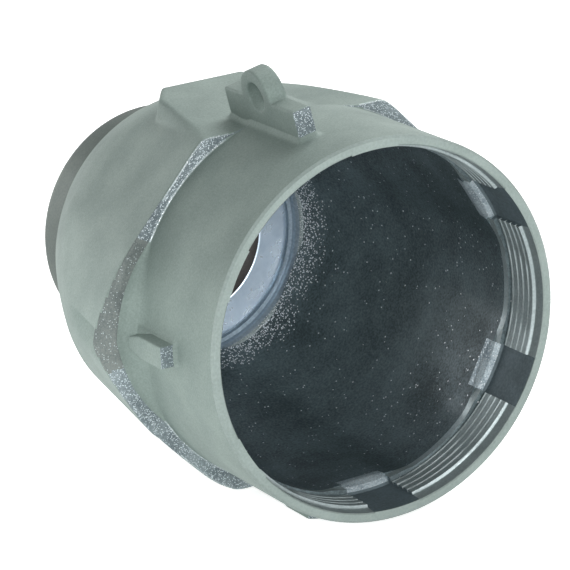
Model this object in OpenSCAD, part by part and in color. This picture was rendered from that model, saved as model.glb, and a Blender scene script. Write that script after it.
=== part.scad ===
// Compression fitting for thin-wall conduit: a die-cast body with a wide threaded mouth at the front
// and a compression gland on the spigot at the back.
// The origin is the centre of the mouth's face. The body's axis is horizontal: its depth runs along +Y
// and +Z is up. Clock angles are seen from in front of the mouth, clockwise from straight up.

/* [Mouth] */
// Root radius of the mouth's internal thread (M80 x 2)
mouth_r = 40; // [36:0.1:44]
// Wall of the barrel outside the mouth
rim_wall = 2.5; // [2.2:0.1:3.5]
// Depth of the mouth's thread bore
mouth_depth = 12; // [10:0.1:14]
// Width of the chamfer on the barrel's front edge
rim_chamfer = 0.5; // [0.2:0.1:0.8]
// How far the plain machined band behind the thread stands inside the thread's root
band_step = 1.3; // [1:0.1:2]
// Number of axial slots through the thread
slot_count = 6; // [3:1:8]
// Width of each axial slot
slot_w = 11.4; // [6:0.2:14]
// How much deeper the slots' floor lies than the thread's root
slot_relief = 0.15; // [0.1:0.05:0.3]
// Length of the ramp that closes each slot
slot_ramp = 4; // [2:0.2:5]

/* [Cavity] */
// How far the cast cavity's front stands inside the thread's root
cavity_step = 0.9; // [0.6:0.1:1.6]
// Radius of the cast cavity at its back
cavity_back_r = 28.4; // [27.6:0.1:29.5]
// Distance from the cavity's back edge to the shell's back face
cavity_end = 6.6; // [6:0.2:9]
// Radius of the curve of the cavity's wall, front to back
cavity_curve_r = 120; // [115:5:300]
// How far the cavity's six flat walls stand inside its round one
cavity_flat = 1.5; // [1:0.1:2.5]

/* [Shell] */
// Depth of the step in front of the six-sided shoulder
shoulder_z = 31; // [28:0.5:36]
// Height of the round corners between flats and side facets over the barrel, at the shoulder
corner_rise = 2.9; // [2:0.1:3.5]
// Radius of the curve along the round corners
corner_curve_r = 144; // [120:2:200]
// Height of the two side ribs over the barrel, at the shoulder
rib_rise = 9.7; // [7.5:0.1:10.5]
// Radius of the curve along the side ribs
rib_curve_r = 170; // [150:5:400]
// Height of the side facets over the barrel, at the shoulder
facet_rise = 3.7; // [2.5:0.1:4.5]
// Radius of the bulge across each side facet
facet_bulge_r = 90; // [70:1:150]
// Inward lean of the side facets towards the back
facet_lean = 8.5; // [7:0.5:11]
// How far the top and bottom flats lie below the barrel's radius
flat_drop = 1.3; // [0.5:0.1:1.6]
// Inward lean of the flats towards the back
flat_lean = 1.5; // [0.5:0.5:3]
// Radius of the back rim
back_rim_r = 35.6; // [34.8:0.1:37]
// Length of the back rim behind the ribs
back_rim_len = 4; // [3:0.5:6]
// Overall depth of the cast shell
shell_len = 89; // [80:0.5:100]
// Radius of the round on the shell's back edge
back_round = 2.2; // [1:0.1:3]
// How far the barrel runs on inside the shell as it narrows away
barrel_run = 14; // [8:1:20]

/* [Top pad] */
// Left edge of the raised pad on the top flat
pad_left = 15.5; // [12:0.5:17]
// Right edge of the pad
pad_right = 5; // [2:0.5:14]
// How far the pad's right side slopes out at its foot
pad_slope = 5; // [1:0.5:8]
// Height of the pad's front end over the barrel
pad_rise = 1.5; // [0.8:0.1:2.5]
// Depth at which the pad ends
pad_end_z = 67; // [60:0.5:70]
// Backward lean of the pad's top
pad_lean = 1; // [0.5:0.5:4]

/* [Hang lug] */
// Clock angle of the hang lug
lug_clock = -11.5; // [-14:0.5:-8]
// Thickness of the hang lug
lug_t = 5; // [3:0.1:7]
// Depth of the lug's eye
eye_z = 28; // [26:0.5:30]
// Height of the eye's centre over the barrel
eye_rise = 7.3; // [6.5:0.1:10]
// Radius of the lug round its eye
eye_r = 6; // [5:0.1:7]
// Radius of the hole through the eye
eye_hole_r = 3.2; // [2.5:0.1:4]
// Depth at which the lug's web starts
lug_front_z = 12.6; // [10:0.2:18]
// Depth at which the lug's web ends
lug_back_z = 42; // [38:0.5:48]
// Height of the web's top over the barrel
lug_web_rise = 6.9; // [4.5:0.1:8]

/* [Index lugs] */
// Clock angle of the first index lug
index_clock = -90; // [-100:1:-80]
// Angle from the first index lug to the second
index_step = -76; // [-90:1:-60]
// Width of an index lug
index_w = 5; // [3:0.1:8]
// Height of an index lug over the barrel
index_rise = 3.8; // [2:0.1:5]
// Depth at which the index lugs start
index_front_z = 16; // [12:0.5:22]
// Depth at which an index lug starts to narrow towards the shoulder
index_taper_z = 24; // [20:0.5:28]

/* [Throat] */
// How far the throat ring stands in front of the conduit's end: the thickness of its wall
throat_step = 1.375; // [1:0.025:2]
// Outside radius of the throat ring
throat_ring_r = 25.2; // [23.5:0.1:26]
// Thickness of the throat ring
throat_ring_t = 4; // [3:0.1:5]
// Width of the groove round the throat ring's face
throat_groove_w = 0.7; // [0.3:0.1:1]
// Depth of the groove round the throat ring's face
throat_groove_d = 1.2; // [0.5:0.1:2]
// Width of the slope from the cavity's back edge in to the smooth counterbore
lead_in = 1.4; // [0.8:0.1:1.6]

/* [Gland] */
// Radius of the conduit that the gland grips (38.35 mm outside diameter)
conduit_r = 19.175; // [17.3:0.025:21]
// Radial clearance of the bores that the conduit passes through
conduit_clear = 0.2; // [0.15:0.01:0.3]
// Width of the space for the gland's rings round the conduit's bore
ring_space = 3.825; // [3.5:0.025:4.2]
// Wall of the spigot between that space and the external thread (M52 x 1.5)
spigot_wall = 2.8; // [2.6:0.1:3.2]
// Length of the spigot behind the shell
spigot_len = 10.5; // [9:0.5:12]
// Radial clearance of the gland nut on the spigot
thread_clear = 0.08; // [0.05:0.01:0.1]
// Pitch of the gland nut's thread
gland_pitch = 1.5; // [1:0.5:2]
// Depth of the recess in the spigot's end
recess_depth = 7; // [6:0.5:8]
// Radius of the O-ring's section
o_ring_r = 1.05; // [0.8:0.05:1.2]
// Length of the rubber sealing ring
sealing_len = 3.1; // [2.5:0.1:3.5]
// Thickness of the gland washer
washer_t = 0.8; // [0.6:0.1:1]
// Length of the split compression ring
split_ring_len = 5.7; // [5:0.1:6.5]
// Width of the gap in the compression ring
split_gap = 2.5; // [1.5:0.1:4]
// Clearance between the gland's loose rings and what holds them
ring_clear = 0.15; // [0.1:0.05:0.25]
// How much the cone of the compression ring narrows for each millimetre of depth
cone_slope = 0.75; // [0.5:0.05:1]
// Thickness of the thrust ring behind its cone
thrust_flange_t = 0.9; // [0.7:0.1:1.2]

/* [Gland nut] */
// Wall of the nut's round collar outside its thread
collar_wall = 2.9; // [2.4:0.1:4]
// Gap between the nut and the shell when the gland is tight
nut_gap = 0.4; // [0.2:0.1:0.8]
// Thickness of the wall behind the thrust ring, to the collar's back edge
nut_wall = 2.2; // [1.8:0.1:3]
// Size of the chamfer on the collar's back edge
nut_chamfer = 1.6; // [0.8:0.1:2]
// Length of the six-sided drive behind the collar
hex_len = 4; // [3:0.5:6]
// Wall between the conduit's bore and the flats of the six-sided drive
hex_wall = 1.825; // [1.5:0.025:2.5]

/* [Hidden] */
$fn = 96;
overlap = 0.01;
facet_step = 60;
root_depth = 1.5;
rim_draft = 0.4;
barrel_r = mouth_r + rim_wall;
band_r = mouth_r - band_step;
cavity_front_r = mouth_r - cavity_step;
cavity_depth = shell_len - cavity_end;
counterbore_r = cavity_back_r - lead_in;
corner_r = barrel_r + corner_rise;
rib_r = barrel_r + rib_rise;
facet_dist = barrel_r + facet_rise;
flat_dist = barrel_r - flat_drop;
back_rim_z = shell_len - back_rim_len;
pad_h = barrel_r + pad_rise;
eye_dist = barrel_r + eye_rise;
lug_web_dist = barrel_r + lug_web_rise;
index_dist = barrel_r + index_rise;
lug_root_r = barrel_r - root_depth;
slot_floor_r = mouth_r + slot_relief;
slot_break_r = slot_floor_r - 1.6;
slot_break_z = mouth_depth + slot_ramp / 3;
slot_end_r = cavity_front_r - cavity_flat - root_depth;
slot_end_z = mouth_depth + slot_ramp;
conduit_bore_r = conduit_r + conduit_clear;
throat_hole_r = conduit_r - throat_step;
recess_r = conduit_bore_r + ring_space;
spigot_r = recess_r + spigot_wall;
nut_r = spigot_r + collar_wall;
hex_flats = 2 * (conduit_bore_r + hex_wall);
ring_seat_z = shell_len - throat_ring_t;
groove_r = throat_ring_r + throat_groove_w;
spigot_end_z = shell_len + spigot_len;
recess_z = spigot_end_z - recess_depth;
groove_land = 1;
o_groove_z = shell_len + groove_land;
o_groove_w = 2 * o_ring_r + 2 * ring_clear;
o_ring_squeeze = 0.25;
o_groove_r = spigot_r - (2 - o_ring_squeeze) * o_ring_r;
nut_bore_r = spigot_r + thread_clear;
nut_counterbore_r = o_groove_r + 2 * o_ring_r + ring_clear;
nut_counterbore_z = o_groove_z + o_groove_w + gland_pitch / 2;
washer_z = recess_z + sealing_len;
split_ring_z = washer_z + washer_t;
split_ring_end_z = split_ring_z + split_ring_len;
split_ring_r = recess_r - 2 * ring_clear;
thrust_ring_z = spigot_end_z + 2 * ring_clear;
cone_depth = split_ring_end_z - thrust_ring_z;
cone_small_r = split_ring_r - cone_slope * cone_depth;
thrust_ring_end_z = split_ring_end_z + thrust_flange_t;
nut_back_z = thrust_ring_end_z + nut_wall;
nut_end_z = nut_back_z + hex_len;
nut_front_z = shell_len + nut_gap;
nut_front_chamfer = 0.5;
hex_crown = 2.2;
hex_crown_r = hex_flats / 2 - 0.2;
hex_corner_r = hex_flats / sqrt(3);

// Points of an arc from p to q that bulges away from the axis, as [radius, depth].
function bulge(p, q, r, steps = 8) =
    let (mid = (p + q) / 2, half = norm(q - p) / 2, dir = (q - p) / (2 * half),
         inward = [-dir[1], dir[0]], centre = mid + inward * sqrt(r * r - half * half),
         start = atan2(p[1] - centre[1], p[0] - centre[0]), sweep = 2 * asin(half / r))
    [for (i = [0:steps]) centre + r * [cos(start + sweep * i / steps), sin(start + sweep * i / steps)]];

// Lays the fitting down: local +Z is the depth behind the mouth, local +Y is up.
module lay() {
    rotate([90, 0, 180]) children();
}

// Turns what is drawn at the top to a clock angle.
module at_clock(angle) {
    rotate([0, 0, angle]) children();
}

// A ring between two radii.
module ring(inner, outer, z0, z1) {
    translate([0, 0, z0]) difference() {
        cylinder(r = outer, h = z1 - z0);
        translate([0, 0, -overlap]) cylinder(r = inner, h = z1 - z0 + 2 * overlap);
    }
}

// A round shell behind the shoulder, curved front to back.
module shell_round(front_r, curve_r) {
    rotate_extrude()
        polygon(concat(
            [[0, shoulder_z]],
            bulge([front_r, shoulder_z], [back_rim_r, back_rim_z], curve_r),
            bulge([back_rim_r - rim_draft, shell_len - back_round],
                  [back_rim_r - rim_draft - back_round, shell_len], back_round, 6),
            [[0, shell_len]]));
}

// The shell's two rounds: the corners stop at the smaller one, the side ribs at the larger.
module shell_rounds() {
    shell_round(corner_r, corner_curve_r);
    intersection() {
        shell_round(rib_r, rib_curve_r);
        translate([-2 * rib_r, -facet_dist / 2, 0]) cube([4 * rib_r, facet_dist, shell_len]);
    }
}

// One leaning side facet, bulged across its width; everything inside it is kept.
module facet_keep() {
    translate([0, facet_dist, shoulder_z]) rotate([facet_lean, 0, 0])
        translate([0, -facet_bulge_r, -shoulder_z])
            cylinder(r = facet_bulge_r, h = 2 * shell_len, $fn = 180);
}

// The flat at the top or the bottom of the shoulder; everything inside it is kept.
module flat_keep() {
    translate([0, flat_dist, shoulder_z]) rotate([flat_lean, 0, 0])
        translate([-2 * rib_r, -4 * rib_r, -shoulder_z])
            cube([4 * rib_r, 4 * rib_r, 2 * shell_len]);
}

// The six-sided shell: two flats, four bulged facets, round corners and a rib at each side.
module shell() {
    intersection() {
        shell_rounds();
        at_clock(facet_step) facet_keep();
        at_clock(2 * facet_step) facet_keep();
        at_clock(-facet_step) facet_keep();
        at_clock(-2 * facet_step) facet_keep();
        flat_keep();
        at_clock(180) flat_keep();
    }
}

// The front barrel; behind the shoulder it narrows away inside the shell.
module barrel() {
    rotate_extrude()
        polygon([[0, 0], [barrel_r - rim_chamfer, 0], [barrel_r, rim_chamfer],
                 [barrel_r, shoulder_z], [barrel_r - barrel_run / 3, shoulder_z + barrel_run],
                 [0, shoulder_z + barrel_run]]);
}

// The raised pad on the top flat: square on the left, sloping away on the right.
module top_pad() {
    intersection() {
        translate([0, 0, shoulder_z]) linear_extrude(pad_end_z - shoulder_z)
            polygon([[pad_left, 0], [pad_left, 2 * pad_h], [-pad_right, 2 * pad_h],
                     [-pad_right, pad_h], [-pad_right - pad_slope, flat_dist - 1], [-pad_right, 0]]);
        translate([0, pad_h, shoulder_z]) rotate([pad_lean, 0, 0])
            translate([-2 * pad_left, -pad_h, -shoulder_z])
                cube([4 * pad_left, pad_h, 2 * pad_end_z]);
    }
}

// The hang lug's outline as [distance from the axis, depth], turned into a plate along the axis.
module hang_lug() {
    at_clock(lug_clock) rotate([0, -90, 0]) translate([0, 0, -lug_t / 2]) linear_extrude(lug_t) {
        difference() {
            union() {
                translate([eye_z, eye_dist]) circle(r = eye_r);
                polygon([[lug_front_z, lug_root_r], [lug_front_z, lug_web_dist],
                         [lug_back_z, lug_web_dist], [lug_back_z, lug_root_r - root_depth],
                         [shoulder_z, lug_root_r - root_depth]]);
            }
            translate([eye_z, eye_dist]) circle(r = eye_hole_r);
        }
    }
}

// An index lug on the barrel: square in front and blunt at the shoulder.
module index_lug() {
    translate([0, lug_root_r, 0]) rotate([-90, 0, 0])
        linear_extrude(index_dist - lug_root_r)
            polygon([[-index_w / 2, -index_front_z], [index_w / 2, -index_front_z],
                     [index_w / 2, -index_taper_z], [index_w / 4, -shoulder_z - root_depth],
                     [-index_w / 4, -shoulder_z - root_depth], [-index_w / 2, -index_taper_z]]);
}

// The cavity's round wall, from the band to the lead-in of the throat.
module cavity_round() {
    rotate_extrude()
        polygon(concat(
            [[0, mouth_depth]],
            bulge([cavity_front_r, mouth_depth], [cavity_back_r, cavity_depth], cavity_curve_r),
            [[counterbore_r, cavity_depth + lead_in], [0, cavity_depth + lead_in]]));
}

// One flat wall of the cavity, curved front to back like the round one; everything inside is kept.
module cavity_flat_keep() {
    inset = [cavity_flat, 0];
    profile = bulge([cavity_front_r, mouth_depth] - inset, [cavity_back_r, cavity_depth] - inset,
                    cavity_curve_r, 6);
    rotate([90, 0, 90]) translate([0, 0, -barrel_r])
        linear_extrude(2 * barrel_r)
            polygon(concat([[-barrel_r, 0], [cavity_front_r - cavity_flat, 0]], profile,
                           [[cavity_back_r - cavity_flat, shell_len], [-barrel_r, shell_len]]));
}

// The cast cavity, softly six-sided.
module cavity() {
    intersection() {
        cavity_round();
        cavity_flat_keep();
        at_clock(facet_step) cavity_flat_keep();
        at_clock(2 * facet_step) cavity_flat_keep();
        at_clock(3 * facet_step) cavity_flat_keep();
        at_clock(4 * facet_step) cavity_flat_keep();
        at_clock(5 * facet_step) cavity_flat_keep();
    }
}

// One axial slot through the thread, closed at the back by a ramp.
module mouth_slot() {
    intersection() {
        translate([-slot_w / 2, 0, -overlap]) cube([slot_w, barrel_r, slot_end_z + overlap]);
        rotate_extrude()
            polygon([[0, -1], [slot_floor_r, -1], [slot_floor_r, mouth_depth],
                     [slot_break_r, slot_break_z], [slot_end_r, slot_end_z], [0, slot_end_z]]);
    }
}

// Everything cut from the front: the thread's bore, the plain band and the slots.
module mouth_cut() {
    translate([0, 0, -overlap]) cylinder(r = mouth_r, h = mouth_depth + overlap);
    cylinder(r = band_r, h = mouth_depth + slot_ramp / 2);
    for (i = [0:slot_count - 1])
        at_clock(i * 360 / slot_count) mouth_slot();
}

// The throat behind the cavity: counterbore, groove, the throat ring's seat and the conduit bore.
module throat_cut() {
    translate([0, 0, cavity_depth])
        cylinder(r = counterbore_r, h = ring_seat_z - cavity_depth);
    translate([0, 0, ring_seat_z - overlap])
        cylinder(r = groove_r, h = throat_groove_d + overlap);
    translate([0, 0, ring_seat_z]) cylinder(r = throat_ring_r, h = throat_ring_t);
    translate([0, 0, shell_len - overlap])
        cylinder(r = conduit_bore_r, h = spigot_len + 2 * overlap);
    translate([0, 0, recess_z]) cylinder(r = recess_r, h = recess_depth + overlap);
}

module body_casting() {
    color("#93a09a") lay() difference() {
        union() {
            barrel();
            shell();
            top_pad();
            hang_lug();
            at_clock(index_clock) index_lug();
            at_clock(index_clock + index_step) index_lug();
            translate([0, 0, shell_len - 1]) cylinder(r = spigot_r, h = spigot_len + 1);
        }
        mouth_cut();
        cavity();
        throat_cut();
        ring(o_groove_r, spigot_r + 1, o_groove_z, o_groove_z + o_groove_w);
    }
}

module throat_ring() {
    color("#d7dbe4") lay() ring(throat_hole_r, throat_ring_r, ring_seat_z, shell_len);
}

module spigot_o_ring() {
    color("#242424") lay() translate([0, 0, o_groove_z + o_groove_w / 2])
        rotate_extrude() translate([o_groove_r + o_ring_r, 0]) circle(r = o_ring_r, $fn = 32);
}

module sealing_ring() {
    color("#2e2623") lay()
        ring(conduit_bore_r + ring_clear, recess_r - ring_clear, recess_z, washer_z);
}

module gland_washer() {
    color("#b9bcbf") lay()
        ring(conduit_bore_r + ring_clear, recess_r - ring_clear, washer_z, split_ring_z);
}

module compression_ring() {
    color("#c8c9c4") lay() difference() {
        rotate_extrude()
            polygon([[conduit_bore_r, split_ring_z], [split_ring_r, split_ring_z],
                     [split_ring_r, thrust_ring_z], [cone_small_r, split_ring_end_z],
                     [conduit_bore_r, split_ring_end_z]]);
        translate([-split_gap / 2, 0, split_ring_z - 1])
            cube([split_gap, barrel_r, split_ring_len + 2]);
    }
}

module thrust_ring() {
    color("#c2c4c8") lay() rotate_extrude()
        polygon([[split_ring_r + ring_clear, thrust_ring_z], [nut_bore_r - ring_clear, thrust_ring_z],
                 [nut_bore_r - ring_clear, thrust_ring_end_z],
                 [conduit_bore_r + ring_clear, thrust_ring_end_z],
                 [conduit_bore_r + ring_clear, split_ring_end_z + ring_clear],
                 [cone_small_r + ring_clear, split_ring_end_z + ring_clear]]);
}

module gland_nut() {
    color("#7f8b86") lay() difference() {
        union() {
            rotate_extrude()
                polygon([[0, nut_front_z], [nut_r - nut_front_chamfer, nut_front_z],
                         [nut_r, nut_front_z + nut_front_chamfer], [nut_r, nut_back_z - nut_chamfer],
                         [nut_r - nut_chamfer, nut_back_z], [0, nut_back_z]]);
            intersection() {
                translate([0, 0, nut_back_z - 1]) cylinder(r = hex_corner_r, h = hex_len + 1, $fn = 6);
                rotate_extrude()
                    polygon([[0, nut_front_z], [hex_corner_r + 1, nut_front_z],
                             [hex_corner_r + 1, nut_end_z - hex_crown], [hex_crown_r, nut_end_z],
                             [0, nut_end_z]]);
            }
        }
        translate([0, 0, shell_len]) cylinder(r = conduit_bore_r, h = nut_end_z);
        translate([0, 0, shell_len])
            cylinder(r = nut_counterbore_r, h = nut_counterbore_z - shell_len);
        translate([0, 0, shell_len]) cylinder(r = nut_bore_r, h = thrust_ring_end_z - shell_len);
    }
}

body_casting();
throat_ring();
spigot_o_ring();
sealing_ring();
gland_washer();
compression_ring();
thrust_ring();
gland_nut();
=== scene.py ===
"""Conduit compression fitting: a die-cast body with a slotted thread mouth and a compression gland.

Sizes are in millimetres, as a drawing of the part gives them; meshes are scaled to metres as they are
finished. Depth runs along +Y from the mouth's face and clock angles turn clockwise from straight up,
seen from in front of the mouth.
"""

from __future__ import annotations

import logging
import math
from dataclasses import dataclass, replace
from enum import Enum
from functools import lru_cache
from typing import Callable, Sequence

import bmesh
import bpy
from mathutils import Matrix, Vector

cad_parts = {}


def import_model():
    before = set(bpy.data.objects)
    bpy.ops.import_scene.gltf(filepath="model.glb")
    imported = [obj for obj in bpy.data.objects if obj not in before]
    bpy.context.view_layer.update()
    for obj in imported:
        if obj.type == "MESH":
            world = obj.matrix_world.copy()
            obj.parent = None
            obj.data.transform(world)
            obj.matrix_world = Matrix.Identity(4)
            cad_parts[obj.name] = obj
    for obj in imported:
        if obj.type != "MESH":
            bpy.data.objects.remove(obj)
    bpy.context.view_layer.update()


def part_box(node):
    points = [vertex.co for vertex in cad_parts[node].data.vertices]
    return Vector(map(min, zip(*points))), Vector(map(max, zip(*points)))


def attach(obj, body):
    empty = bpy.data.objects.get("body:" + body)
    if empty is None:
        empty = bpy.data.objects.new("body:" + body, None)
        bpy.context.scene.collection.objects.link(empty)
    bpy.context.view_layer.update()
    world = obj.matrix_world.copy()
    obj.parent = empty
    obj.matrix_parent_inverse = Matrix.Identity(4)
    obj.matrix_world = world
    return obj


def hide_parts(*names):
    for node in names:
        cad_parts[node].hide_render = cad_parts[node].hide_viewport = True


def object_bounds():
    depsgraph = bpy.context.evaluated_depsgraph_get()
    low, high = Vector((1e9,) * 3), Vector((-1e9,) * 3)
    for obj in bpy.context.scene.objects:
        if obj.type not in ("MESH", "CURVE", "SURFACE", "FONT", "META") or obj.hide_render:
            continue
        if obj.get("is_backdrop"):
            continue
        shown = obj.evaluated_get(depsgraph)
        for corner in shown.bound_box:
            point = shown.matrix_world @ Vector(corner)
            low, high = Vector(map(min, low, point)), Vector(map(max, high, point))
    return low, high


LOG = logging.getLogger("fitting")
MM = 0.001
TURN = 2.0 * math.pi
Tree = bpy.types.NodeTree
Socket = bpy.types.NodeSocket
Profile = Sequence[tuple[float, float]]
Radius = Callable[[float, float], float]

# Radius of the barrel's skin, and the depth at which the faced rim meets it.
BARREL_R = 42.5
LIP_Y = 0.62
# Stand-in radii: a profile is turned with them, and reshape gives those rings their real radii.
SHAPED_R = 20.0
BEHIND_R = 10.0


# ---------------------------------------------------------------- small maths


def linear(hex_colour: str) -> tuple[float, float, float, float]:
    """Turns an sRGB hex colour to the linear colour that a shader takes.

    Args:
        hex_colour: six hex digits with a leading hash.

    Returns:
        Linear red, green and blue, and an alpha of 1.
    """
    values = [int(hex_colour[i : i + 2], 16) / 255 for i in (1, 3, 5)]
    red, green, blue = [v / 12.92 if v <= 0.04045 else ((v + 0.055) / 1.055) ** 2.4 for v in values]
    return red, green, blue, 1.0


def soft_min(a: float, b: float, blend: float) -> float:
    """The smaller of two values, rounded over where they are within a blend of each other."""
    h = max(blend - abs(a - b), 0.0) / blend
    return min(a, b) - h * h * blend / 4


def soft_max(a: float, b: float, blend: float) -> float:
    """The larger of two values, filleted where they are within a blend of each other."""
    return -soft_min(-a, -b, blend)


def ease(value: float) -> float:
    """Smooth step from 0 to 1 as value goes from 0 to 1."""
    t = min(max(value, 0.0), 1.0)
    return t * t * (3 - 2 * t)


def fillet(distance: float, radius: float) -> float:
    """How high a concave fillet climbs a wall.

    Args:
        distance: how far from the wall the point is.
        radius: the fillet's radius.

    Returns:
        The fillet's height there, and 0 past its foot.
    """
    if distance >= radius:
        return 0.0
    return radius - math.sqrt(max(radius * radius - (radius - max(distance, 0.0)) ** 2, 0.0))


def clock_offset(clock: float, centre: float) -> float:
    """Signed angle from centre to clock, within half a turn either way, in degrees."""
    return (clock - centre + 180.0) % 360.0 - 180.0


def from_sixth(clock: float) -> float:
    """Angle to the nearest sixth of a turn, in degrees and never negative."""
    return abs((clock + 30.0) % 60.0 - 30.0)


@dataclass(frozen=True)
class Bulge:
    """A wall line that bulges away from the axis between two rings.

    Attributes:
        front_r: radius of the front ring.
        front_y: its depth.
        back_r: radius of the back ring.
        back_y: its depth.
        curve_r: radius of the arc that joins them.
    """

    front_r: float
    front_y: float
    back_r: float
    back_y: float
    curve_r: float

    @lru_cache(maxsize=None)
    def at(self, y: float) -> float:
        """Works out where the arc runs.

        Args:
            y: a depth.

        Returns:
            The line's radius at that depth.
        """
        dr, dy = self.back_r - self.front_r, self.back_y - self.front_y
        half = math.hypot(dr, dy) / 2
        reach = math.sqrt(self.curve_r**2 - half**2)
        cr = (self.front_r + self.back_r) / 2 - reach * dy / (2 * half)
        cy = (self.front_y + self.back_y) / 2 + reach * dr / (2 * half)
        return cr + math.sqrt(max(self.curve_r**2 - (y - cy) ** 2, 0.0))


def between(points: Sequence[tuple[float, float]], at: float) -> float:
    """Reads a line of straight stretches.

    Args:
        points: its (place, value) corners in order.
        at: a place along it.

    Returns:
        The value there; past the ends, the end's value.
    """
    if at <= points[0][0]:
        return points[0][1]
    for (place, value), (next_place, next_value) in zip(points, points[1:]):
        if at <= next_place:
            return value + (next_value - value) * (at - place) / (next_place - place)
    return points[-1][1]


def steps(start: float, stop: float, step: float) -> list[float]:
    """Even depths from start up to, and not past, stop."""
    count = max(1, round((stop - start) / step))
    return [start + (stop - start) * i / count for i in range(count)]


# ---------------------------------------------------------------- finishes


def add_node(
    tree: Tree, kind: str, links: dict[str | int, object] | None = None, **settings: object
) -> bpy.types.Node:
    """Adds a shader node.

    Args:
        tree: the material's node tree.
        kind: the node's type without its ShaderNode prefix.
        links: input name or number to an output socket or a plain value.
        settings: attributes of the node itself.

    Returns:
        The new node.
    """
    node = tree.nodes.new("ShaderNode" + kind)
    for name, value in settings.items():
        setattr(node, name, value)
    for key, value in (links or {}).items():
        if isinstance(value, Socket):
            tree.links.new(value, node.inputs[key])
        else:
            node.inputs[key].default_value = value
    return node


class Lay(Enum):
    """Which way a finish's fine lines run."""

    NONE = 0
    ROUND_BORE = 1
    ROUND_FACE = 2


@dataclass(frozen=True)
class Finish:
    """A surface finish: its colours, its gloss, its grain, its tool marks and any painted glints.

    Attributes:
        name: the real material and how its surface was made, and any light or shade painted into it.
        light: colour of the surface where it is clean.
        dark: colour in its pits and stains.
        metallic: share of bare metal.
        rough: roughness of the clean surface.
        rough_pit: roughness in the pits.
        grain_mm: size of the grain.
        grain_depth_mm: depth of the grain.
        stain_mm: size of the broad stains.
        glint: share of the grains that catch the light.
        glint_mm: size of such a grain.
        glint_colour: colour of such a grain.
        crowd_y_mm: depths between which the bright grains grow from few to many, if they do.
        lay: which way the tool marks run.
        mark_mm: spacing of the tool marks.
        mark_depth_mm: depth of the tool marks.
        pit_range: sums of the two noises that count as a full pit and as clean skin.
        stray: share of bright grains where they don't crowd.
        core: how much of its cell a bright grain fills.
        polish: how much smoother a bright grain is than its surroundings.
    """

    name: str
    light: str
    dark: str
    metallic: float
    rough: float
    rough_pit: float
    grain_mm: float = 0.5
    grain_depth_mm: float = 0.0
    stain_mm: float = 14.0
    # glint: share of the grains painted bright as glints. glint_mm: size of such a grain. glint_colour:
    # colour of such a painted glint. crowd_y_mm: depths between which the painted glints grow from few to
    # many, if they do.
    glint: float = 0.0
    glint_mm: float = 0.45
    glint_colour: str = "#e8edf2"
    crowd_y_mm: tuple[float, float] | None = None
    lay: Lay = Lay.NONE
    mark_mm: float = 0.4
    mark_depth_mm: float = 0.0
    pit_range: tuple[float, float] = (0.75, 1.25)
    # stray: share of painted glints where they don't crowd. core: how much of its cell a painted glint fills.
    # polish: how much smoother a painted glint is than its surroundings.
    stray: float = 0.015
    core: float = 0.42
    polish: float = 0.25

    def build(self) -> bpy.types.Material:
        """Makes the material, with every pattern on Object coordinates and scaled from millimetres.

        Returns:
            The material.
        """
        material = bpy.data.materials.new(self.name)
        material.use_nodes = True
        tree = material.node_tree
        shader = tree.nodes["Principled BSDF"]
        place = add_node(tree, "TexCoord").outputs["Object"]
        cloud = {"Vector": place, "Scale": 1 / (self.grain_mm * MM), "Detail": 3.0}
        grain = add_node(tree, "TexNoise", cloud)
        cloud = {"Vector": place, "Scale": 1 / (self.stain_mm * MM), "Detail": 4.0}
        stain = add_node(tree, "TexNoise", cloud)
        mixed = add_node(tree, "Math", {0: grain.outputs["Fac"], 1: stain.outputs["Fac"]}, operation="ADD")
        low, high = self.pit_range
        pit = add_node(tree, "MapRange", {"Value": mixed.outputs[0], "From Min": low, "From Max": high})
        colour = add_node(
            tree, "Mix", {0: pit.outputs[0], 6: linear(self.dark), 7: linear(self.light)}, data_type="RGBA"
        )
        rough = add_node(
            tree, "MapRange", {"Value": pit.outputs[0], "To Min": self.rough_pit, "To Max": self.rough}
        )
        paint, gloss = colour.outputs[2], rough.outputs[0]
        height = grain.outputs["Fac"]
        if self.glint > 0:
            paint, gloss = self._glints(tree, place, paint, gloss)
        if self.lay is not Lay.NONE:
            height = self._marks(tree, place, height)
        tree.links.new(paint, shader.inputs["Base Color"])
        tree.links.new(gloss, shader.inputs["Roughness"])
        shader.inputs["Metallic"].default_value = self.metallic
        depth = max(self.grain_depth_mm, self.mark_depth_mm)
        if depth > 0:
            bump = add_node(tree, "Bump", {"Height": height, "Distance": depth * MM, "Strength": 1.0})
            tree.links.new(bump.outputs[0], shader.inputs["Normal"])
        return material

    def _glints(self, tree: Tree, place: Socket, paint: Socket, gloss: Socket) -> tuple[Socket, Socket]:
        """Paints glints: turns a few cells of a fine cell pattern into bright, glossier grains.

        Args:
            tree: the material's node tree.
            place: the Object coordinates.
            paint: the colour without the grains.
            gloss: the roughness without the grains.

        Returns:
            The colour and the roughness with the painted glints.
        """
        cells = add_node(tree, "TexVoronoi", {"Vector": place, "Scale": 1 / (self.glint_mm * MM)})
        chance = add_node(tree, "SeparateColor", {0: cells.outputs["Color"]})
        limit = 1 - self.glint
        if self.crowd_y_mm:
            depth = add_node(tree, "SeparateXYZ", {0: place}).outputs["Y"]
            near, far = self.crowd_y_mm
            span = {"Value": depth, "From Min": near * MM, "From Max": far * MM}
            limit = add_node(tree, "MapRange", {**span, "To Min": 1 - self.stray, "To Max": limit}).outputs[0]
        chosen = add_node(tree, "Math", {0: chance.outputs[0], 1: limit}, operation="GREATER_THAN")
        core = add_node(tree, "Math", {0: cells.outputs["Distance"], 1: self.core}, operation="LESS_THAN")
        mask = add_node(tree, "Math", {0: chosen.outputs[0], 1: core.outputs[0]}, operation="MULTIPLY")
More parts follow.
